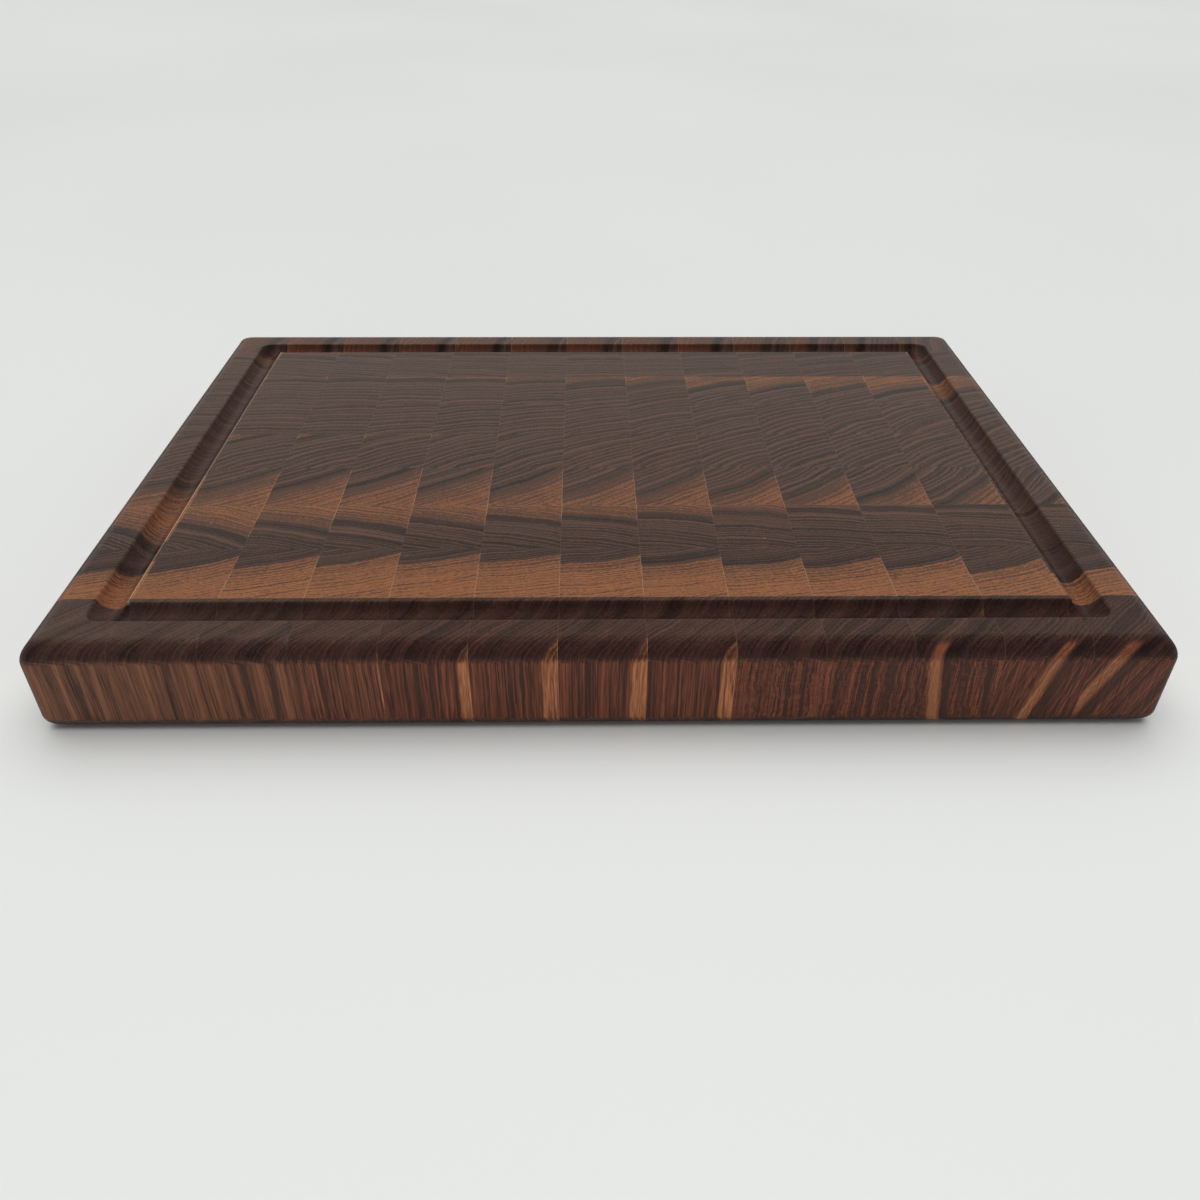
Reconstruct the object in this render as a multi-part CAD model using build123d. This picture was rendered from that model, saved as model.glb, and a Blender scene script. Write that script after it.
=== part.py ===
from build123d import *
import os

# End-grain cutting board with a juice groove, in millimetres.
#
# Thirteen strips lie side by side across the width (X).  Each strip is a row of
# nine short blocks running from front to back (Y), every block standing with
# its wood fibres upright (Z).  All the blocks are glued face to face; then the
# whole board is squared, its edges are rounded over and a round-bottomed
# groove is cut into the top face just inside the edge.
#
# Frame: origin at the centre of the underside, +X to the right along the
# width, +Y to the back, +Z up.

# ---------------------------------------------------------------- dimensions
board_width = 431.8            # X, 17 in
board_depth = 330.2            # Y, 13 in
board_thickness = 38.1         # Z, 1 1/2 in, the length of the fibres

strip_count = 13               # strips side by side across the width
front_row_depth = 34.4         # front block of every strip, trimmed to square
full_row_depth = 37.65         # plank thickness: depth of an untrimmed block
full_row_count = 7             # untrimmed blocks in every strip

top_roundover = 7.94           # 5/16 in roundover on the top edge
bottom_roundover = 6.35        # 1/4 in roundover on the bottom edge
corner_radius = 4.0            # the four upright corners, eased by sanding

groove_inset = 25.4            # groove centreline from the edge of the board
groove_width = 12.7            # at the top face
groove_depth = 4.8

# ------------------------------------------------------------ derived values
strip_width = board_width / strip_count
front_y = -board_depth / 2
row_edges = [front_y, front_y + front_row_depth]
for _ in range(full_row_count):
    row_edges.append(row_edges[-1] + full_row_depth)
row_edges.append(board_depth / 2)
row_count = len(row_edges) - 1
strip_edges = [-board_width / 2 + strip_width * i for i in range(strip_count + 1)]
# radius of the round-nosed cutter that leaves this width at this depth
groove_radius = (groove_width ** 2 / 4 + groove_depth ** 2) / (2 * groove_depth)
groove_centre_z = board_thickness - groove_depth + groove_radius
groove_x = board_width / 2 - groove_inset
groove_y = board_depth / 2 - groove_inset


def rounded_blank():
    """The squared board with its top, bottom and upright edges rounded."""
    blank = Box(board_width, board_depth, board_thickness,
                align=(Align.CENTER, Align.CENTER, Align.MIN))
    blank = fillet(blank.edges().group_by(Axis.Z)[-1], top_roundover)
    blank = fillet(blank.edges().group_by(Axis.Z)[0], bottom_roundover)
    upright = blank.edges().filter_by(Axis.Z)
    return fillet(upright, corner_radius)


def groove_run_x(y):
    """One run of the groove along the width."""
    return Pos(0, y, groove_centre_z) * Rot(0, 90, 0) * Cylinder(groove_radius, 2 * groove_x)


def groove_run_y(x):
    """One run of the groove from front to back."""
    return Pos(x, 0, groove_centre_z) * Rot(90, 0, 0) * Cylinder(groove_radius, 2 * groove_y)


def block_cell(strip, row):
    """The upright cell that one block fills, before any edge is shaped."""
    x0, x1 = strip_edges[strip], strip_edges[strip + 1]
    y0, y1 = row_edges[row], row_edges[row + 1]
    return Pos((x0 + x1) / 2, (y0 + y1) / 2, board_thickness / 2) * Box(
        x1 - x0, y1 - y0, board_thickness)


def cut_block(blank, strip, row):
    """One block: its cell, rounded where the blank is rounded, and grooved."""
    block = block_cell(strip, row)
    first_strip, last_strip = strip == 0, strip == strip_count - 1
    first_row, last_row = row == 0, row == row_count - 1
    if first_strip or last_strip or first_row or last_row:
        block = block & blank
    if first_row:
        block = block - groove_run_x(-groove_y)
    if last_row:
        block = block - groove_run_x(groove_y)
    if first_strip:
        block = block - groove_run_y(-groove_x)
    if last_strip:
        block = block - groove_run_y(groove_x)
    if (first_strip or last_strip) and (first_row or last_row):
        # the ball end of the cutter leaves a quarter sphere where it turns
        turn = Pos(groove_x if last_strip else -groove_x,
                   groove_y if last_row else -groove_y, groove_centre_z)
        block = block - turn * Sphere(groove_radius)
    return block


def build_nodes():
    blank = rounded_blank()
    nodes = {}
    last_s, last_r = strip_count - 1, row_count - 1
    corners = {(0, 0): "front_left_corner_block", (last_s, 0): "front_right_corner_block",
               (0, last_r): "back_left_corner_block", (last_s, last_r): "back_right_corner_block"}
    for (s, r), name in corners.items():
        nodes[name] = [cut_block(blank, s, r)]
    for s in range(1, last_s):
        nodes[f"front_edge_block_strip_{s + 1:02d}"] = [cut_block(blank, s, 0)]
        nodes[f"back_edge_block_strip_{s + 1:02d}"] = [cut_block(blank, s, last_r)]
    for r in range(1, last_r):
        nodes[f"left_edge_block_row_{r + 1}"] = [cut_block(blank, 0, r)]
        nodes[f"right_edge_block_row_{r + 1}"] = [cut_block(blank, last_s, r)]
    # the plain blocks inside the groove are all alike: one group per strip
    for s in range(1, last_s):
        nodes[f"inner_blocks_strip_{s + 1:02d}"] = [
            cut_block(blank, s, r) for r in range(1, last_r)]
    return nodes


os.makedirs("parts", exist_ok=True)
for name, blocks in build_nodes().items():
    solids = [solid for block in blocks for solid in block.solids()]
    if len(solids) != len(blocks):
        raise ValueError(f"{name}: {len(solids)} solids from {len(blocks)} blocks")
    shape = solids[0] if len(solids) == 1 else Compound(children=solids)
    export_step(shape, os.path.join("parts", name + ".step"))
    print(name, len(solids), round(sum(s.volume for s in solids), 2))
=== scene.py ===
import math

import bpy
import numpy as np
from mathutils import Matrix, Vector


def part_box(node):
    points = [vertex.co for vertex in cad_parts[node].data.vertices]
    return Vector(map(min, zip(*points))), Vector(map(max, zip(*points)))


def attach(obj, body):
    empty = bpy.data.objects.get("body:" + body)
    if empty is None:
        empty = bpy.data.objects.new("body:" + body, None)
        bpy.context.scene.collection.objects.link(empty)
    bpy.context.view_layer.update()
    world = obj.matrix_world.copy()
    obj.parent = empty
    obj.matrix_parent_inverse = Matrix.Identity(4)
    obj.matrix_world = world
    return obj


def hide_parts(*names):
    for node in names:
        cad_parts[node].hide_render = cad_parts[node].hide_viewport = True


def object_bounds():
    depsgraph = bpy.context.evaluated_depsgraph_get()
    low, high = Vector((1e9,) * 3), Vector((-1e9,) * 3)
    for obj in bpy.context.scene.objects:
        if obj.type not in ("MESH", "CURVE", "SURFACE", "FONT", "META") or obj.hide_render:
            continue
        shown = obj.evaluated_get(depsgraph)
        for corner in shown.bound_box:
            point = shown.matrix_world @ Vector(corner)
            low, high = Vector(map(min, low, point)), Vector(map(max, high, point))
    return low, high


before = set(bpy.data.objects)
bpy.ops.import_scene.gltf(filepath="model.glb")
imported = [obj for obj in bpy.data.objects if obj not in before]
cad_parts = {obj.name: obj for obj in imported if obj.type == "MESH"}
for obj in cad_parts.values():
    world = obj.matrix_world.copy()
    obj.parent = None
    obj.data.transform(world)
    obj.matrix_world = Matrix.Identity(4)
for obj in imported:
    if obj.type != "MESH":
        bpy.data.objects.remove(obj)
cad_lo, cad_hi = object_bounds()

# =====================================================================
# End-grain cutting board.  Thirteen glued strips of nine blocks; every
# strip is one piece made of nine closed blocks.  Lengths are in mm while
# the meshes are being made and in metres once they are in the scene.
# =====================================================================
MM = 0.001
STRIPS, ROWS = 13, 9
W = (cad_hi.x - cad_lo.x) / MM
D = (cad_hi.y - cad_lo.y) / MM
T = (cad_hi.z - cad_lo.z) / MM

R_TOP = 7.94          # roundover of the top edge
R_BOT = 6.35          # roundover of the bottom edge
R_UP = 4.0            # upright corners
GROOVE_IN = 25.4      # groove centreline from the edge
GROOVE_W = 12.7
GROOVE_DEEP = 4.8
G_R = (GROOVE_W**2 / 4 + GROOVE_DEEP**2) / (2 * GROOVE_DEEP)
G_ZC = T - GROOVE_DEEP + G_R
EASE = 0.7            # the sanded edge of the groove
G_EX = math.sqrt((G_R + EASE) ** 2 - (G_ZC - T + EASE) ** 2)
G_EC = G_R * G_EX / (G_R + EASE)


def node_of(strip, row):
    """The CAD node that holds one block (strip and row from 1)."""
    if row in (1, ROWS) and strip in (1, STRIPS):
        side = "left" if strip == 1 else "right"
        return f"{'front' if row == 1 else 'back'}_{side}_corner_block"
    if row == 1:
        return f"front_edge_block_strip_{strip:02d}"
    if row == ROWS:
        return f"back_edge_block_strip_{strip:02d}"
    if strip == 1:
        return f"left_edge_block_row_{row}"
    if strip == STRIPS:
        return f"right_edge_block_row_{row}"
    return f"inner_blocks_strip_{strip:02d}"


# where the joints are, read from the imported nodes
X_EDGES = [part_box(node_of(s, 1))[0].x / MM for s in range(1, STRIPS + 1)]
X_EDGES.append(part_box(node_of(STRIPS, 1))[1].x / MM)
Y_EDGES = [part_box(node_of(1, r))[0].y / MM for r in range(1, ROWS + 1)]
Y_EDGES.append(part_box(node_of(1, ROWS))[1].y / MM)


# ---------------------------------------------------------------- surface
def inset_lines():
    """Insets from a board edge at which the mesh has a line, over the edge block."""
    v = [R_TOP * (1 - math.cos(math.radians(a))) for a in range(0, 91, 9)]
    v += [R_BOT, R_TOP + 0.5]
    v += [float(x) for x in np.linspace(R_TOP + 2.2, GROOVE_IN - GROOVE_W / 2 - 2.2, 5)]
    half = [G_R * math.sin(math.radians(a)) for a in (0, 12, 24, 36, 48, 60)]
    half += [G_EC + (G_EX - G_EC) * f for f in (0.0, 0.25, 0.5, 0.75, 1.0)] + [G_EX + 0.5]
    for h in half:
        v += [GROOVE_IN - h, GROOVE_IN + h]
    return v


def spread(lo, hi, fixed, step=2.0):
    """Sorted lines from lo to hi that hold the fixed ones, with no gap over step."""
    keep = sorted({round(x, 4) for x in fixed if lo + 0.05 < x < hi - 0.05} | {lo, hi})
    out = []
    for a, b in zip(keep, keep[1:]):
        n = max(1, math.ceil((b - a) / step - 1e-6))
        out += [a + (b - a) * i / n for i in range(n)]
    return np.array(out + [hi])


INSETS = inset_lines()


def x_lines(strip):
    lo, hi = X_EDGES[strip - 1], X_EDGES[strip]
    fixed = []
    if strip == 1:
        fixed = [-W / 2 + v for v in INSETS]
    if strip == STRIPS:
        fixed = [W / 2 - v for v in INSETS]
    return spread(lo, hi, fixed)


def y_lines(row):
    lo, hi = Y_EDGES[row - 1], Y_EDGES[row]
    fixed = []
    if row == 1:
        fixed = [-D / 2 + v for v in INSETS]
    if row == ROWS:
        fixed = [D / 2 - v for v in INSETS]
    return spread(lo, hi, fixed)


def plan(x, y):
    """Plan position of a grid point: the outline's corners are rounded, and so is the groove where it turns.
    Returns x, y and the inset of the outline that the point lies on."""
    sx, sy = np.where(x < 0, -1.0, 1.0), np.where(y < 0, -1.0, 1.0)
    dx, dy = W / 2 - np.abs(x), D / 2 - np.abs(y)
    d = np.minimum(dx, dy)
    e = np.maximum(dx, dy) - d
    rc = R_UP * np.clip((14.0 - d) / 6.0, 0, 1)
    on_arc = e < rc
    a = np.radians(45) * (1 - e / np.maximum(rc, 1e-9))
    near = d + rc - rc * np.cos(a)
    far = d + rc - rc * np.sin(a)
    nx = np.where(on_arc, np.where(dx <= dy, near, far), dx)
    ny = np.where(on_arc, np.where(dx <= dy, far, near), dy)
    # the groove turns on a ball: squares about its corner become circles
    qx, qy = GROOVE_IN - nx, GROOVE_IN - ny
    rho = np.maximum(qx, qy)
    out = (qx > 0) & (qy > 0) & (rho < 11.0)
    low = np.minimum(qx, qy)
    th = np.radians(45) * low / np.maximum(rho, 1e-9)
    big, small = rho * np.cos(th), rho * np.sin(th)
    cx, cy = np.where(qx >= qy, big, small), np.where(qx >= qy, small, big)
    w = np.clip((11.0 - rho) / 4.0, 0, 1)
    w = w * w * (3 - 2 * w)
    nx = np.where(out, GROOVE_IN - (qx + (cx - qx) * w), nx)
    ny = np.where(out, GROOVE_IN - (qy + (cy - qy) * w), ny)
    return sx * (W / 2 - nx), sy * (D / 2 - ny), d


def groove_distance(x, y):
    """Distance in plan from the centreline of the groove."""
    qx = np.abs(x) - (W / 2 - GROOVE_IN)
    qy = np.abs(y) - (D / 2 - GROOVE_IN)
    outside = np.hypot(np.maximum(qx, 0), np.maximum(qy, 0))
    inside = np.minimum(-qx, -qy)
    return np.where((qx > 0) | (qy > 0), outside, inside)


def top_z(x, y, d):
    k = np.clip(R_TOP - d, 0, R_TOP)
    z = T - R_TOP + np.sqrt(np.maximum(R_TOP**2 - k**2, 0))
    g = groove_distance(x, y)
    cove = G_ZC - np.sqrt(np.maximum(G_R**2 - np.minimum(g, G_EC) ** 2, 0))
    eased = T - EASE + np.sqrt(np.maximum(EASE**2 - np.clip(G_EX - g, 0, EASE) ** 2, 0))
    return np.where(g <= G_EC + 1e-6, cove, np.where(g < G_EX, eased, z))


def bottom_z(d):
    k = np.clip(R_BOT - d, 0, R_BOT)
    return R_BOT - np.sqrt(np.maximum(R_BOT**2 - k**2, 0))


SIDE_LEVELS = np.linspace(R_BOT, T - R_TOP, 9)[1:-1]


def block_mesh(strip, row):
    """Vertices (mm), faces, and how far each vertex faces up or down (1) or sideways (0), of one closed block."""
    xs, ys = x_lines(strip), y_lines(row)
    nx, ny = len(xs), len(ys)
    gx, gy = np.meshgrid(xs, ys, indexing="ij")
    px, py, d = plan(gx, gy)
    zt, zb = top_z(px, py, d), bottom_z(d)
    # how much the surface faces along the fibres at each point
    up_t = np.clip(np.sqrt(np.maximum(0, 1 - (np.clip(R_TOP - d, 0, R_TOP) / R_TOP) ** 2)), 0, 1)
    g = groove_distance(px, py)
    up_t = np.where(g < G_EC, np.minimum(up_t, np.sqrt(np.maximum(0, 1 - (g / G_R) ** 2))), up_t)
    up_b = np.clip(np.sqrt(np.maximum(0, 1 - (np.clip(R_BOT - d, 0, R_BOT) / R_BOT) ** 2)), 0, 1)
    verts = np.concatenate(
        [np.stack([px, py, zt], -1).reshape(-1, 3), np.stack([px, py, zb], -1).reshape(-1, 3)]
    ).tolist()
    ends = np.concatenate([up_t.ravel(), up_b.ravel()]).tolist()
    n_top = nx * ny

    def vt(i, j):
        return i * ny + j

    def vb(i, j):
        return n_top + i * ny + j

    faces = []
    cx, cy = (xs[0] + xs[-1]) / 2, (ys[0] + ys[-1]) / 2
    corner = strip in (1, STRIPS) and row in (1, ROWS)
    for i in range(nx - 1):
        for j in range(ny - 1):
            quad = (vt(i, j), vt(i + 1, j), vt(i + 1, j + 1), vt(i, j + 1))
            lower = (vb(i, j), vb(i, j + 1), vb(i + 1, j + 1), vb(i + 1, j))
            if corner:
                # creases run to the corner of the board, so quads there are cut that way
                if (cx < 0) == (cy < 0):
                    faces += [(quad[0], quad[1], quad[2]), (quad[0], quad[2], quad[3])]
                    faces += [(lower[0], lower[1], lower[2]), (lower[0], lower[2], lower[3])]
                else:
                    faces += [(quad[1], quad[2], quad[3]), (quad[1], quad[3], quad[0])]
                    faces += [(lower[1], lower[2], lower[3]), (lower[1], lower[3], lower[0])]
            else:
                faces += [quad, lower]
    # the walls, going round anticlockwise as seen from above
    rim = [(i, 0) for i in range(nx - 1)] + [(nx - 1, j) for j in range(ny - 1)]
    rim += [(i, ny - 1) for i in range(nx - 1, 0, -1)] + [(0, j) for j in range(ny - 1, 0, -1)]
    columns = {}
    for i, j in rim:
        a, b = vt(i, j), vb(i, j)
        if d[i, j] < 1e-6:
            mids = []
            for z in SIDE_LEVELS:
                mids.append(len(verts))
                verts.append([float(px[i, j]), float(py[i, j]), float(z)])
                ends.append(0.0)
            columns[i, j] = [b] + mids + [a]
        else:
            columns[i, j] = [b, a]
    for k in range(len(rim)):
        p, q = columns[rim[k]], columns[rim[(k + 1) % len(rim)]]
        if len(p) == len(q):
            for m in range(len(p) - 1):
                faces.append((p[m], q[m], q[m + 1], p[m + 1]))
        elif len(p) > len(q):
            for m in range(len(p) - 1):
                faces.append((p[m], q[0], p[m + 1]))
            faces.append((p[-1], q[0], q[1]))
        else:
            for m in range(len(q) - 1):
                faces.append((p[0], q[m], q[m + 1]))
            faces.append((p[0], q[-1], p[1]))
    return np.array(verts), faces, np.array(ends)


# ------------------------------------------------------------------ grain
# Each row across the board comes from one plank, so its growth rings drift
# slowly from strip to strip.  For every block: the two points (u, v), as
# fractions of the block's width and depth, where the edge of the heartwood
# crosses its left and right side, the side that the pith is on (+1 back,
# -1 front), and the rings' radius in mm.
ROW_GRAIN = {
    1: dict(left=[-1.05, -1.03, -1.01, -0.91, -0.80, -0.76, -0.76, -0.79, -1.2, -1.25, -1.65, -1.65, -1.65],
            right=[-0.10, -0.08, -0.06, 0.04, 0.15, 0.19, 0.19, 0.16, -0.25, -0.30, -0.80, -0.80, -0.80],
            pith=1, radius=500.0),
    2: dict(left=[0.45, 0.51, 0.59, 0.63, 0.66, 0.69, 0.66, 0.62, 0.59, 0.55, 0.50, 0.42, 0.42],
            right=[0.76, 0.86, 0.88, 0.91, 0.89, 0.87, 0.84, 0.80, 0.76, 0.78, 0.80, 0.76, 0.66],
            pith=1, radius=115.0),
    3: dict(left=[0.60, 0.63, 0.66, 0.68, 0.75, 0.78, 0.80, 0.84, 0.88, 0.94, 0.98, 1.03, 1.05],
            right=[0.18, 0.27, 0.43, 0.45, 0.51, 0.60, 0.64, 0.70, 0.79, 0.87, 0.93, 0.99, 1.03],
            pith=-1, radius=120.0),
    4: dict(left=[0.38, 0.34, 0.33, 0.37, 0.33, 0.29, 0.26, 0.18, 0.14, 0.07, 0.01, -0.16, -0.45],
            right=[0.82, 0.90, 0.96, 1.00, 0.97, 0.98, 0.97, 0.88, 0.79, 0.77, 0.66, 0.62, 0.34],
            pith=1, radius=130.0),
    5: dict(left=[0.85, 0.85, 0.85, 0.87, 0.88, 0.92, 0.95, 1.02, 1.08, 1.14, 1.2, 1.25, 1.3],
            right=[1.20, 1.22, 1.22, 1.25, 1.27, 1.31, 1.34, 1.41, 1.47, 1.54, 1.62, 1.68, 1.74],
            pith=-1, radius=[98, 98, 98, 100, 100, 104, 108, 116, 120, 124, 128, 132, 136]),
    6: dict(left=[1.20, 1.20, 1.20, 1.22, 1.24, 1.26, 1.28, 1.30, 1.33, 1.36, 1.4, 1.42, 1.45],
            right=[1.18, 1.20, 1.24, 1.30, 1.36, 1.42, 1.48, 1.54, 1.60, 1.66, 1.72, 1.78, 1.8],
            pith=-1, radius=120.0),
    7: dict(left=[0.95, 0.94, 0.93, 0.92, 0.88, 0.82, 0.77, 0.66, 0.51, 0.44, 0.36, 0.33, 0.33],
            right=[0.93, 0.93, 0.93, 0.93, 0.92, 0.91, 0.91, 0.92, 0.86, 0.79, 0.75, 0.67, 0.62],
            pith=-1, radius=105.0),
    8: dict(left=[0.86, 0.92, 0.94, 0.98, 1.01, 1.02, 1.02, 1.00, 0.97, 0.93, 0.90, 0.86, 0.84],
            right=[0.74, 0.80, 0.84, 0.90, 0.96, 1.00, 1.03, 1.04, 1.05, 1.06, 1.06, 1.06, 1.05],
            pith=-1, radius=140.0),
}
# the back row is cut across its rings: the heartwood's edge crosses the
# front (v = 0) and the back (v = 1) of each block at these u
ROW9_FRONT = [0.50, 0.52, 0.53, 0.55, 0.56, 0.56, 0.55, 0.53, 0.50, 0.40, 0.22, 0.10, 0.02]
ROW9_BACK = [0.80, 0.82, 0.84, 0.86, 0.86, 0.86, 0.85, 0.83, 0.80, 0.68, 0.50, 0.36, 0.26]

# tone of the heartwood, growth-ring pitch in mm, redness of the sapwood, and
# how much lighter or darker than plain sapwood it is
ROW_WOOD = {
    1: (0.38, 1.7, 0.10, -0.12), 2: (0.36, 2.1, 0.05, -0.08), 3: (0.48, 2.4, 0.30, -0.30),
    4: (0.50, 3.2, 0.32, -0.62), 5: (0.50, 4.0, 0.40, -0.20), 6: (0.50, 4.2, 0.40, 0.00),
    7: (0.51, 4.0, 0.35, -0.24), 8: (0.52, 3.4, 0.60, -0.50), 9: (0.46, 3.2, 0.85, -0.45),
}
# how dark the band is where the heartwood starts
ROW_BAND = {1: 0.10, 2: 0.22, 3: 1.0, 4: 1.0, 5: 0.8, 6: 0.5, 7: 1.0, 8: 0.8, 9: 1.0}
# how plainly the growth rings show on the end grain
ROW_RINGS = {1: 0.50, 2: 0.75, 3: 1.0, 4: 1.0, 5: 1.15, 6: 1.15, 7: 1.1, 8: 1.0, 9: 0.6}
# lean of the fibres, in mm sideways per mm down, for each row
ROW_LEAN = {1: (0.02, 0.02), 2: (-0.03, 0.05), 3: (0.04, -0.03), 4: (-0.02, 0.04), 5: (0.03, 0.03),
            6: (-0.04, 0.02), 7: (0.03, -0.04), 8: (0.02, 0.03), 9: (-0.05, 0.02)}
# pale streaks in the front row: where each meets the top of the front face
# and its bottom (fractions of the block's width), and its width in mm
FRONT_STREAK = {11: (0.20, 0.34, 3.2), 12: (0.65, 0.34, 3.4), 13: (0.38, -0.15, 3.8)}
FRONT_CURL = {9: 1.0, 10: 0.6, 11: 0.7, 12: 0.3}


def circle_through(p, q, side, radius):
    """Centre of the circle of that radius through p and q, on the given side (+1 left of p->q)."""
    p, q = np.array(p, float), np.array(q, float)
    mid, along = (p + q) / 2, q - p
    half = np.linalg.norm(along) / 2
    n = np.array([-along[1], along[0]]) / (2 * half) * side
    return mid + n * math.sqrt(max(radius**2 - half**2, 1.0))


def grain_of(strip, row, p):
    """For points p (mm) of a block: depth into the heartwood along the rings' radius, and distance along the rings."""
    x0, x1 = X_EDGES[strip - 1], X_EDGES[strip]
    y0, y1 = Y_EDGES[row - 1], Y_EDGES[row]
    w, h = x1 - x0, y1 - y0
    lx, ly = ROW_LEAN[row]
    if row == 1 and strip in FRONT_STREAK:
        u_top, u_bot, _ = FRONT_STREAK[strip]
        lx = -(u_bot - u_top) * w / T
    x = p[:, 0] + lx * (T - p[:, 2])
    y = p[:, 1] + ly * (T - p[:, 2])
    s = strip - 1
    if row == ROWS:
        a = (x0 + ROW9_FRONT[s] * w, y0)
        b = (x0 + ROW9_BACK[s] * w, y1)
        side, radius = -1, 150.0
    else:
        g = ROW_GRAIN[row]
        a = (x0, y0 + g["left"][s] * h)
        b = (x1, y0 + g["right"][s] * h)
        side, radius = g["pith"], float(np.broadcast_to(g["radius"], STRIPS)[s])
    c = circle_through(a, b, side, radius)
    dx, dy = x - c[0], y - c[1]
    return radius - np.hypot(dx, dy), np.arctan2(dy, dx) * radius


rng = np.random.default_rng(20260117)


def make_strip(strip):
    """One strip of nine closed blocks, as a mesh object with its grain stored on the vertices."""
    all_v, all_f = [], []
    grain, wood, seam, end, cove, figure = [], [], [], [], [], []
    base = 0
    for row in range(1, ROWS + 1):
        v, f, e = block_mesh(strip, row)
        ring, along = grain_of(strip, row, v)
        tone, pitch, red, sap = ROW_WOOD[row]
        tone = tone + rng.uniform(-0.04, 0.04)
        # hue: 0 yellowish, 1 reddish
        hue = 0.5 + rng.uniform(-0.12, 0.12)
        if row == 1:
            hue = {1: 0.15, 2: 0.2, 3: 0.3, 4: 0.6}.get(strip, 0.85)
            tone += 0.09 if strip <= 4 else 0.0 if strip <= 8 else -0.05 if strip <= 10 else -0.10
        if row == 8 and strip >= 9:
            tone -= 0.06
        if row == ROWS and strip == 1:
            red, sap = 0.6, -0.75
        seed = rng.uniform(0, 60)
        # distance from the glued faces; the board's own edges aren't glued
        x0, x1 = X_EDGES[strip - 1], X_EDGES[strip]
        y0, y1 = Y_EDGES[row - 1], Y_EDGES[row]
        jl = v[:, 0] - x0 if strip > 1 else np.full(len(v), 99.0)
        jr = x1 - v[:, 0] if strip < STRIPS else np.full(len(v), 99.0)
        jf = v[:, 1] - y0 if row > 1 else np.full(len(v), 99.0)
        jb = y1 - v[:, 1] if row < ROWS else np.full(len(v), 99.0)
        streak = np.full(len(v), 99.0)
        curl = 0.12
        if row == 1:
            curl = FRONT_CURL.get(strip, 0.12)
            if strip in FRONT_STREAK:
                u, _, width = FRONT_STREAK[strip]
                at, _ = grain_of(strip, 1, np.array([[x0 + u * (x1 - x0), y0, T]]))
                streak = (ring - at[0]) / (width / 2)
        all_v.append(v)
        all_f += [tuple(int(k) + base for k in face) for face in f]
        base += len(v)
        n = len(v)
        grain.append(np.stack([ring, along, np.full(n, seed)], -1))
        u, q = (v[:, 0] - x0) / (x1 - x0), (v[:, 1] - y0) / (y1 - y0)
        tones, saps = np.full(n, tone), np.full(n, sap)
        if row == 3:
            tones = tones - 0.16 * np.clip((0.55 - q) / 0.45, 0, 1)
        if row == 4:
            saps = saps + 0.22 * np.clip((u - 0.72) / 0.28, 0, 1) + (0.12 if strip >= 8 else 0.0) + (0.14 if strip >= 12 else 0.0)
        wood.append(np.stack([tones, np.full(n, pitch), np.full(n, red)], -1))
        seam.append(np.stack([np.minimum(jl, jr), np.minimum(jf, jb), streak], -1))
        end.append(np.stack([e, np.full(n, curl), saps], -1))
        in_groove = np.clip((G_EX - groove_distance(v[:, 0], v[:, 1])) / 1.0, 0, 1) * (v[:, 2] > T / 2)
        cove.append(np.stack([in_groove, np.full(n, ROW_BAND[row]), np.full(n, hue)], -1))
        # painted highlight on the sanded rim of the groove, strongest on the rims that face left
        gap = groove_distance(v[:, 0], v[:, 1])
        rim = (np.abs(gap - (G_EC + G_EX) / 2) < (G_EX - G_EC) * 0.5 + 1e-4) * (v[:, 2] > T / 2)
        across = np.abs(v[:, 0]) - (W / 2 - GROOVE_IN)
        upright = (np.abs(across) < 7.5) & (np.abs(v[:, 1]) < D / 2 - GROOVE_IN)
        left = np.where(v[:, 0] < 0, (across < 0) * 1.0, (across > 0) * 0.25)
        rim = rim * np.maximum(left * upright, 0.15)
        banded = 1.0 if row == 1 and strip <= 3 else 0.0
        clear = ROW_RINGS[row] * (0.75 + 0.05 * strip if row in (6, 7) and strip < 6 else 1.0)
        figure.append(np.stack([np.full(n, clear), rim, np.full(n, banded)], -1))
    me = bpy.data.meshes.new(f"walnut_strip_{strip:02d}")
    me.from_pydata((np.concatenate(all_v) * MM).tolist(), [], all_f)
    for name, data in (("grain", grain), ("wood", wood), ("seam", seam), ("cut", end), ("cove", cove),
                       ("figure", figure)):
        at = me.attributes.new(name, "FLOAT_VECTOR", "POINT")
        at.data.foreach_set("vector", np.concatenate(data).astype(np.float32).ravel())
    me.polygons.foreach_set("use_smooth", [True] * len(me.polygons))
    me.set_sharp_from_angle(angle=math.radians(32))
    me.update()
    ob = bpy.data.objects.new(me.name, me)
    bpy.context.scene.collection.objects.link(ob)
    return ob


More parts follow.
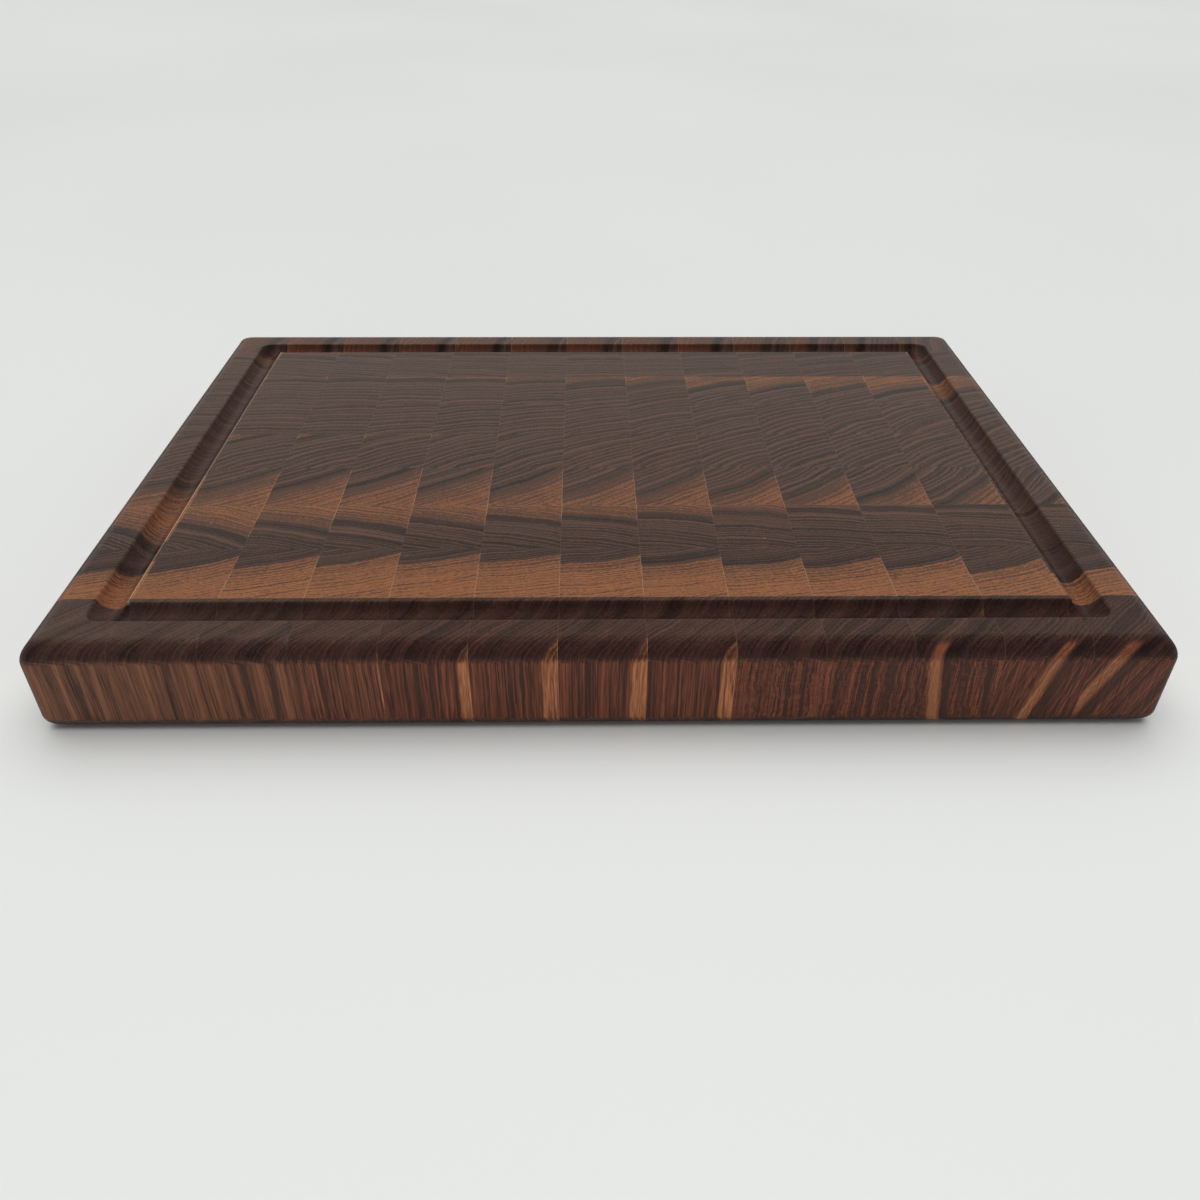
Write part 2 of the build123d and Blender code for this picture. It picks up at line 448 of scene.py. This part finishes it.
# --------------------------------------------------------------- materials
class Nodes:
    """Small helper for building a node tree: a number or a socket may be given for any input."""

    def __init__(self, name):
        self.mat = bpy.data.materials.new(name)
        self.mat.use_nodes = True
        self.tree = self.mat.node_tree
        self.tree.nodes.clear()

    def put(self, socket, value):
        if isinstance(value, bpy.types.NodeSocket):
            self.tree.links.new(value, socket)
        else:
            socket.default_value = value

    def node(self, kind, inputs=None, **props):
        n = self.tree.nodes.new(kind)
        for k, v in props.items():
            setattr(n, k, v)
        for k, v in (inputs or {}).items():
            self.put(n.inputs[k], v)
        return n

    def math(self, op, a, b=0.0, c=0.0, clamp=False):
        n = self.node("ShaderNodeMath", operation=op, use_clamp=clamp)
        for i, v in enumerate((a, b, c)):
            self.put(n.inputs[i], v)
        return n.outputs[0]

    def add(self, a, b):
        return self.math("ADD", a, b)

    def sub(self, a, b):
        return self.math("SUBTRACT", a, b)

    def mul(self, a, b):
        return self.math("MULTIPLY", a, b)

    def ramp(self, v, lo, hi, a=0.0, b=1.0):
        """Smooth step of v from a at lo to b at hi."""
        n = self.node("ShaderNodeMapRange", interpolation_type="SMOOTHSTEP")
        for k, x in zip(("Value", "From Min", "From Max", "To Min", "To Max"), (v, lo, hi, a, b)):
            self.put(n.inputs[k], x)
        return n.outputs["Result"]

    def split(self, v):
        n = self.node("ShaderNodeSeparateXYZ")
        self.put(n.inputs[0], v)
        return n.outputs

    def attribute(self, name):
        return self.split(self.node("ShaderNodeAttribute", attribute_name=name).outputs["Vector"])

    def scaled(self, v, s):
        n = self.node("ShaderNodeVectorMath", operation="MULTIPLY")
        self.put(n.inputs[0], v)
        self.put(n.inputs[1], s)
        return n.outputs[0]

    def noise(self, v, scale=1.0, detail=2.0, rough=0.5, dims="3D"):
        n = self.node("ShaderNodeTexNoise", noise_dimensions=dims)
        n.inputs["Scale"].default_value = scale
        n.inputs["Detail"].default_value = detail
        n.inputs["Roughness"].default_value = rough
        self.put(n.inputs["W" if dims == "1D" else "Vector"], v)
        return n.outputs["Fac"]

    def mix(self, f, a, b, blend="MIX"):
        n = self.node("ShaderNodeMix", data_type="RGBA", blend_type=blend)
        self.put(n.inputs[0], f)
        for s, v in ((n.inputs[6], a), (n.inputs[7], b)):
            self.put(s, v if isinstance(v, bpy.types.NodeSocket) else (*v, 1.0))
        return n.outputs[2]

    def mix_value(self, f, a, b):
        n = self.node("ShaderNodeMix", data_type="FLOAT")
        for i, v in enumerate((f, a, b)):
            self.put((n.inputs[0], n.inputs[2], n.inputs[3])[i], v)
        return n.outputs[0]

    def combine(self, x, y, z):
        n = self.node("ShaderNodeCombineXYZ")
        for i, v in enumerate((x, y, z)):
            self.put(n.inputs[i], v)
        return n.outputs[0]


def walnut():
    g = Nodes("oiled_walnut_end_grain")
    ring, along, seed = g.attribute("grain")
    tone, pitch, red = g.attribute("wood")
    seam_x, seam_y, streak = g.attribute("seam")
    end_raw, curl, sap = g.attribute("cut")
    groove, band_depth, hue = g.attribute("cove")
    plain, rim, banded = g.attribute("figure")
    end = g.ramp(end_raw, 0.05, 0.45)
    rings = g.mul(g.mix_value(end, g.sub(1.0, g.mul(banded, 0.6)), plain), g.sub(1.0, g.mul(groove, 0.5)))

    here = g.scaled(g.node("ShaderNodeTexCoord").outputs["Object"], (1000, 1000, 1000))
    shift = g.combine(g.mul(seed, 37.0), g.mul(seed, 23.0), g.mul(seed, 11.0))
    place = g.node("ShaderNodeVectorMath", operation="ADD")
    g.put(place.inputs[0], here)
    g.put(place.inputs[1], shift)
    P = place.outputs[0]

    # the rings wander a little, and waver up and down the fibres
    wander = g.noise(g.scaled(P, (0.055, 0.055, 0.012)), 1.0, 1.0)
    ripple = g.noise(g.scaled(P, (0.30, 0.30, 0.035)), 1.0, 2.0)
    waver = g.noise(g.scaled(P, (0.05, 0.05, 0.16)), 1.0, 1.0)
    r = g.add(ring, g.mul(g.sub(wander, 0.5), 3.2))
    r = g.add(r, g.mul(g.sub(ripple, 0.5), 1.1))
    r = g.add(r, g.mul(g.mul(g.sub(waver, 0.5), curl), 3.4))
    ragged = g.noise(g.scaled(P, (0.95, 0.95, 0.06)), 1.0, 3.0, 0.6)
    edge_r = r
    r = g.add(r, g.mul(g.sub(ragged, 0.5), 1.3))

    # growth rings: uneven pitch, each with a dark line on its outer side
    w = g.math("DIVIDE", r, pitch)
    w = g.add(w, g.mul(g.noise(g.add(g.mul(w, 0.36), seed), 1.0, 1.0, dims="1D"), 1.5))
    t = g.math("FRACT", w)
    cell = g.node("ShaderNodeTexWhiteNoise", noise_dimensions="1D")
    g.put(cell.inputs["W"], g.add(g.math("FLOOR", w), g.math("FLOOR", seed)))
    each = cell.outputs["Value"]
    late = g.mul(g.ramp(t, 0.35, 0.82), g.ramp(t, 0.86, 1.0, 1.0, 0.0))
    late = g.mul(late, g.add(g.mul(each, 0.5), 0.5))
    late = g.mul(late, g.ramp(g.noise(g.scaled(P, (0.12, 0.12, 0.03)), 1.0, 2.0), 0.32, 0.62, 0.55, 1.0))
    early = g.mul(g.mul(g.ramp(t, 0.0, 0.09), g.ramp(t, 0.12, 0.36, 1.0, 0.0)), g.ramp(each, 0.1, 0.9, 0.50, 1.0))
    hair = g.noise(g.add(g.mul(r, 1.35), seed), 1.0, 2.0, 0.6, dims="1D")
    speck = g.noise(g.combine(g.mul(along, 0.7), g.mul(r, 1.7), g.add(seed, g.mul(g.split(P)[2], 0.05))), 1.0, 2.0, 0.7)
    broad = g.noise(g.add(g.mul(r, g.ramp(end, 0.0, 1.0, 0.30, 0.16)), seed), 1.0, 2.0, dims="1D")

    # heartwood, sapwood and what lies between them
    soft = g.add(0.30, g.mul(band_depth, 1.0))
    heart = g.ramp(g.add(edge_r, g.mul(g.sub(ragged, 0.5), 0.9)), g.mul(soft, -1.0), soft)
    band = g.mul(g.mul(g.ramp(r, -1.2, 2.4), g.ramp(r, 3.2, 7.6, 1.0, 0.0)), band_depth)
    glow = g.mul(g.ramp(r, 5.6, 7.0), g.ramp(r, 7.2, 9.4, 1.0, 0.0))

    fine = g.noise(g.scaled(P, (1.7, 1.7, 0.045)), 1.0, 3.0, 0.6)
    cloud = g.noise(g.scaled(P, (0.09, 0.09, 0.02)), 1.0, 2.0)
    rays = g.noise(g.combine(g.mul(along, 2.6), g.mul(r, 0.16), seed), 1.0, 2.0, 0.6)
    fibre = g.noise(g.scaled(P, (2.6, 2.6, 0.03)), 1.0, 2.0, 0.6)
    side = g.sub(1.0, end)

    # tone of the heartwood, 0 dark to 1 light
    v = g.add(tone, g.mul(g.sub(broad, 0.5), g.mix_value(end, g.add(1.25, g.mul(banded, 0.30)), g.sub(1.20, g.mul(plain, 0.66)))))
    shown = g.mul(rings, g.sub(1.0, g.mul(band, 0.6)))
    v = g.sub(v, g.mul(g.mul(late, shown), g.ramp(end, 0.0, 1.0, 0.32, 0.42)))
    v = g.add(v, g.mul(g.mul(early, shown), g.ramp(end, 0.0, 1.0, 0.30, 0.80)))
    v = g.add(v, g.mul(g.mul(g.sub(hair, 0.5), shown), g.ramp(end, 0.0, 1.0, 0.70, 0.95)))
    v = g.add(v, g.mul(g.sub(speck, 0.5), 0.80))
    v = g.sub(v, g.mul(band, 0.27))
    v = g.add(v, g.mul(g.mul(glow, band_depth), 0.34))
    v = g.add(v, g.mul(g.sub(fine, 0.5), 0.62))
    v = g.add(v, g.mul(g.sub(cloud, 0.5), 0.26))
    v = g.add(v, g.mul(g.sub(rays, 0.5), 0.18))
    v = g.add(v, g.mul(g.mul(g.sub(fibre, 0.5), side), g.sub(2.0, g.mul(banded, 0.8))))
    # cross figure on the curly blocks
    cross = g.noise(g.scaled(P, (0.35, 0.35, 0.75)), 1.0, 2.0, 0.6)
    v = g.add(v, g.mul(g.mul(g.mul(g.sub(cross, 0.5), side), g.ramp(curl, 0.15, 0.6)), 1.0))
    dark_end, light_end = (0.015, 0.0058, 0.0050), (0.120, 0.055, 0.0375)
    dark_side, light_side = (0.036, 0.0088, 0.0036), (0.325, 0.110, 0.047)
    lo = g.mix(end, dark_side, dark_end)
    hi = g.mix(end, light_side, light_end)
    heart_colour = g.mix(g.math("MAXIMUM", g.math("MINIMUM", v, 1.1), 0.06), lo, hi)
    heart_colour = g.mix(1.0, heart_colour, g.mix(hue, (0.95, 1.14, 1.20), (1.04, 0.93, 0.90)), "MULTIPLY")
    heart_colour = g.mix(g.mul(side, hue), heart_colour, g.mix(1.0, heart_colour, (0.84, 0.65, 0.58), "MULTIPLY"))

    # tone of the sapwood
    s = g.add(g.add(0.66, g.mul(sap, g.ramp(r, -9.0, -0.5, g.add(0.12, g.mul(red, 0.85)), 1.0))), g.mul(g.sub(broad, 0.5), g.ramp(end, 0.0, 1.0, 0.15, 0.45)))
    s = g.sub(s, g.mul(late, g.ramp(end, 0.0, 1.0, 0.08, 0.75)))
    s = g.add(s, g.mul(g.mul(early, end), 0.25))
    s = g.add(s, g.ramp(r, -17.0, -1.0, 0.20, -0.16))
    s = g.add(s, g.mul(g.sub(hair, 0.5), g.ramp(end, 0.0, 1.0, 0.35, 1.7)))
    s = g.add(s, g.mul(g.sub(speck, 0.5), 2.2))
    s = g.add(s, g.mul(g.sub(fine, 0.5), 0.40))
    s = g.add(s, g.mul(g.sub(cloud, 0.5), 0.4))
    s = g.add(s, g.mul(g.sub(rays, 0.5), 0.22))
    s = g.sub(s, g.mul(red, 0.25))
    sap_lo = g.mix(end, (0.18, 0.054, 0.022), (0.080, 0.034, 0.021))
    sap_tan = g.mix(end, (0.80, 0.300, 0.115), (0.325, 0.118, 0.043))
    sap_red = g.mix(end, (0.44, 0.130, 0.055), (0.205, 0.066, 0.030))
    sap_hi = g.mix(red, sap_tan, sap_red)
    sap_colour = g.mix(g.math("MAXIMUM", g.math("MINIMUM", s, 1.0), 0.0), sap_lo, sap_hi)
    colour = g.mix(heart, sap_colour, heart_colour)

    # pale streaks that run through the heartwood of the front row
    fade = g.mul(heart, g.ramp(end_raw, 0.72, 0.98, 1.0, 0.0))
    pale = g.mul(g.ramp(g.math("ABSOLUTE", streak), 0.40, 1.35, 1.0, 0.0), fade)
    shade = g.mul(g.mul(g.ramp(streak, -1.5, -1.0, 1.0, 0.0), g.ramp(streak, -3.4, -2.2)), fade)
    colour = g.mix(g.mul(shade, 0.70), colour, g.mix(end, dark_side, dark_end))
    colour = g.mix(g.mul(pale, 0.72), colour, g.mix(g.ramp(g.add(g.mul(hair, 0.6), g.mul(fibre, 0.4)), 0.35, 0.65), (0.26, 0.088, 0.034), (0.60, 0.232, 0.092)))

    # painted shade: the groove is made darker and redder in the colour, standing in for the shade in the hollow
    groove_shade = g.mix(heart, g.mix(g.ramp(red, 0.4, 0.85), (0.86, 0.80, 0.76), (1.05, 0.70, 0.58)), (0.72, 0.61, 0.64))
    colour = g.mix(g.mul(groove, 0.85), colour, g.mix(1.0, colour, groove_shade, "MULTIPLY"))

    # painted shade on the top roundover: its colour is made darker and redder down to where the fibres run along the
    # surface; the groove and the bottom roundover are left out
    edge = g.mul(g.ramp(end_raw, 0.90, 0.992, 1.0, 0.0), end)
    edge = g.mul(edge, g.sub(1.0, g.ramp(groove, 0.0, 0.5)))
    edge = g.mul(edge, g.ramp(g.split(here)[2], 12.0, 24.0))
    colour = g.mix(edge, colour, g.mix(1.0, colour, g.mix(heart, (0.80, 0.68, 0.64), (0.70, 0.54, 0.58)), "MULTIPLY"))
    # painted highlight: the rim of the groove is made paler in the colour, most where it faces left
    colour = g.mix(g.mul(g.ramp(rim, 0.1, 1.0), 0.55), colour, g.mix(heart, (0.60, 0.36, 0.24), (0.34, 0.24, 0.19)))

    # open pores: dots on the end grain, short dashes on the sides
    pores = g.node("ShaderNodeTexVoronoi", feature="F1", distance="EUCLIDEAN")
    g.put(pores.inputs["Vector"], g.scaled(P, (0.95, 0.95, 0.045)))
    pores.inputs["Scale"].default_value = 1.0
    pore = g.ramp(pores.outputs["Distance"], 0.13, 0.24, 1.0, 0.0)
    pore = g.mul(pore, g.ramp(late, 0.1, 0.6, 1.0, 0.35))
    colour = g.mix(g.mul(pore, 0.55), colour, (0.018, 0.009, 0.006))

    # thin pale glue lines, and specks of dust
    line = g.math("MAXIMUM", g.ramp(seam_x, 0.07, 0.22, 1.0, 0.0), g.mul(g.ramp(seam_y, 0.04, 0.14, 1.0, 0.0), 0.5))
    broken = g.ramp(g.noise(g.scaled(P, (0.22, 0.22, 0.22)), 1.0, 2.0), 0.35, 0.6, 0.35, 1.0)
    show = g.ramp(heart, 0.0, 1.0, 0.80, 0.12)
    colour = g.mix(g.mul(g.mul(line, broken), show), colour, (0.42, 0.23, 0.12))

    # crumbs left on the top
    crumb = g.node("ShaderNodeTexVoronoi", feature="F1", distance="EUCLIDEAN")
    g.put(crumb.inputs["Vector"], g.scaled(here, (0.085, 0.085, 0.085)))
    crumb.inputs["Scale"].default_value = 1.0
    few = g.ramp(g.split(crumb.outputs["Color"])[0], 0.60, 0.62)
    size = g.ramp(g.split(crumb.outputs["Color"])[1], 0.0, 1.0, 0.018, 0.040)
    dot = g.mul(g.ramp(crumb.outputs["Distance"], g.mul(size, 0.5), size, 1.0, 0.0), few)
    dot = g.mul(dot, g.ramp(end_raw, 0.97, 0.995))
    colour = g.mix(g.mul(dot, 0.55), colour, (0.42, 0.36, 0.30))

    # oil finish: satin, duller where the end grain drank it, worn in patches
    patch = g.noise(g.scaled(here, (0.021, 0.021, 0.03)), 1.0, 3.0, 0.6)
    scuff = g.noise(g.scaled(here, (0.9, 0.06, 0.5)), 1.0, 2.0, 0.7)
    rough = g.add(0.23, g.mul(patch, 0.12))
    rough = g.add(rough, g.mul(g.sub(scuff, 0.5), 0.08))
    rough = g.add(rough, g.ramp(end_raw, 0.86, 0.995, 0.26, 0.0))
    rough = g.add(rough, g.mul(pore, 0.22))

    height = g.mul(pore, -0.8)
    height = g.add(height, g.mul(late, 0.35))
    height = g.add(height, g.mul(fine, 0.35))
    height = g.add(height, g.mul(g.mul(fibre, side), 0.5))
    height = g.sub(height, g.mul(line, 0.35))
    bump = g.node("ShaderNodeBump")
    bump.inputs["Strength"].default_value = 0.30
    bump.inputs["Distance"].default_value = 0.00012
    g.put(bump.inputs["Height"], height)

    bsdf = g.node("ShaderNodeBsdfPrincipled")
    g.put(bsdf.inputs["Base Color"], colour)
    g.put(bsdf.inputs["Roughness"], rough)
    g.put(bsdf.inputs["Normal"], bump.outputs[0])
    bsdf.inputs["IOR"].default_value = 1.42
    out = g.node("ShaderNodeOutputMaterial")
    g.tree.links.new(bsdf.outputs[0], out.inputs["Surface"])
    return g.mat


wood_mat = walnut()
for strip in range(1, STRIPS + 1):
    piece = make_strip(strip)
    piece.data.materials.append(wood_mat)
    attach(piece, "root")
    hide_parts(*sorted({node_of(strip, r) for r in range(1, ROWS + 1)}))


# ------------------------------------------------------------------- stage
def stage_floor():
    g = Nodes("pale_floor")
    here = g.node("ShaderNodeTexCoord").outputs["Object"]
    soft = g.noise(here, 1.3, 3.0, 0.5)
    colour = g.mix(soft, (0.865, 0.875, 0.875), (0.905, 0.91, 0.905))
    bsdf = g.node("ShaderNodeBsdfPrincipled")
    g.put(bsdf.inputs["Base Color"], colour)
    g.put(bsdf.inputs["Roughness"], g.ramp(soft, 0.3, 0.7, 0.42, 0.52))
    out = g.node("ShaderNodeOutputMaterial")
    g.tree.links.new(bsdf.outputs[0], out.inputs["Surface"])
    me = bpy.data.meshes.new("floor")
    z = cad_lo.z - 0.00005
    me.from_pydata([(-20, -20, z), (20, -20, z), (20, 20, z), (-20, 20, z)], [], [(0, 1, 2, 3)])
    ob = bpy.data.objects.new("floor", me)
    ob.data.materials.append(g.mat)
    bpy.context.scene.collection.objects.link(ob)


def area_light(name, where, aim, size, power, colour=(1, 1, 1)):
    data = bpy.data.lights.new(name, "AREA")
    data.shape = "RECTANGLE"
    data.size, data.size_y = size
    data.energy = power
    data.color = colour
    ob = bpy.data.objects.new(name, data)
    ob.location = where
    ob.rotation_mode = "QUATERNION"
    ob.rotation_quaternion = (Vector(aim) - Vector(where)).to_track_quat("-Z", "Y")
    # large diffusers overhead: they light the wood without showing in its finish
    ob.visible_glossy = False
    bpy.context.scene.collection.objects.link(ob)


def overhead_light(name, where, strength, spread, colour):
    """A very soft light from a direction: it lights the floor evenly right to the horizon."""
    data = bpy.data.lights.new(name, "SUN")
    data.energy = strength
    data.angle = math.radians(spread)
    data.color = colour
    ob = bpy.data.objects.new(name, data)
    ob.location = where
    ob.rotation_mode = "QUATERNION"
    ob.rotation_quaternion = (-Vector(where)).to_track_quat("-Z", "Y")
    ob.visible_glossy = False
    bpy.context.scene.collection.objects.link(ob)


stage_floor()
overhead_light("overhead", (0.0, 0.45, 2.0), 2.32, 80, (0.985, 1.0, 0.995))
area_light("fill_front", (0, -2.0, 0.75), (0, 0, 0), (2.4, 1.0), 2.2, (1.0, 1.0, 0.99))
world = bpy.data.worlds.new("studio")
world.use_nodes = True
wt = world.node_tree


def world_node(kind, links, **props):
    n = wt.nodes.new(kind)
    for k, v in props.items():
        setattr(n, k, v)
    for k, v in links.items():
        if isinstance(v, bpy.types.NodeSocket):
            wt.links.new(v, n.inputs[k])
        else:
            n.inputs[k].default_value = v
    return n


def world_step(v, lo, hi, a, b):
    links = {"Value": v, "From Min": lo, "From Max": hi, "To Min": a, "To Max": b}
    return world_node("ShaderNodeMapRange", links, interpolation_type="SMOOTHSTEP").outputs["Result"]


# a dim room with a pale band round the horizon, which is taller behind the board
way = world_node("ShaderNodeSeparateXYZ", {0: world_node("ShaderNodeTexCoord", {}).outputs["Generated"]})
band = world_step(way.outputs["Z"], 0.22, 0.34, 1.0, 0.0)
tall = world_step(way.outputs["Z"], 0.575, 0.63, 1.0, 0.0)
behind = world_step(way.outputs["Y"], -0.75, -0.35, 0.0, 1.0)
tall = world_node("ShaderNodeMath", {0: tall, 1: behind}, operation="MULTIPLY").outputs[0]
band = world_node("ShaderNodeMath", {0: band, 1: tall}, operation="MAXIMUM").outputs[0]
front = world_step(way.outputs["Y"], -0.55, 0.05, 0.09, 0.09)
level = world_node("ShaderNodeMath", {0: world_node("ShaderNodeMath", {0: band, 1: 0.42}, operation="MULTIPLY").outputs[0], 1: front}, operation="MAXIMUM").outputs[0]
wt.nodes["Background"].inputs["Color"].default_value = (1.0, 0.985, 0.92, 1)
wt.links.new(level, wt.nodes["Background"].inputs["Strength"])
bpy.context.scene.world = world
bpy.context.scene.view_settings.view_transform = "Standard"

# ------------------------------------------------------------------ camera
yaw, pitch, roll = (math.radians(a) for a in (0.932, 39.746, -0.287))
fwd = Vector((math.sin(yaw) * math.cos(pitch), math.cos(yaw) * math.cos(pitch), -math.sin(pitch)))
right = Vector((math.cos(yaw), -math.sin(yaw), 0))
down = fwd.cross(right)
cam_x = math.cos(roll) * right + math.sin(roll) * down
cam_y = math.sin(roll) * right - math.cos(roll) * down
cam_data = bpy.data.cameras.new("camera")
cam_data.sensor_width = 36.0
cam_data.lens = 31.106
cam_data.shift_y = 0.1038
cam_data.clip_start, cam_data.clip_end = 0.01, 60
cam = bpy.data.objects.new("camera", cam_data)
rows = [[cam_x[i], cam_y[i], -fwd[i], (-0.00592, -0.47467, 0.25921)[i]] for i in range(3)]
cam.matrix_world = Matrix(rows + [[0, 0, 0, 1]])
bpy.context.scene.collection.objects.link(cam)
bpy.context.scene.camera = cam

bpy.context.view_layer.update()
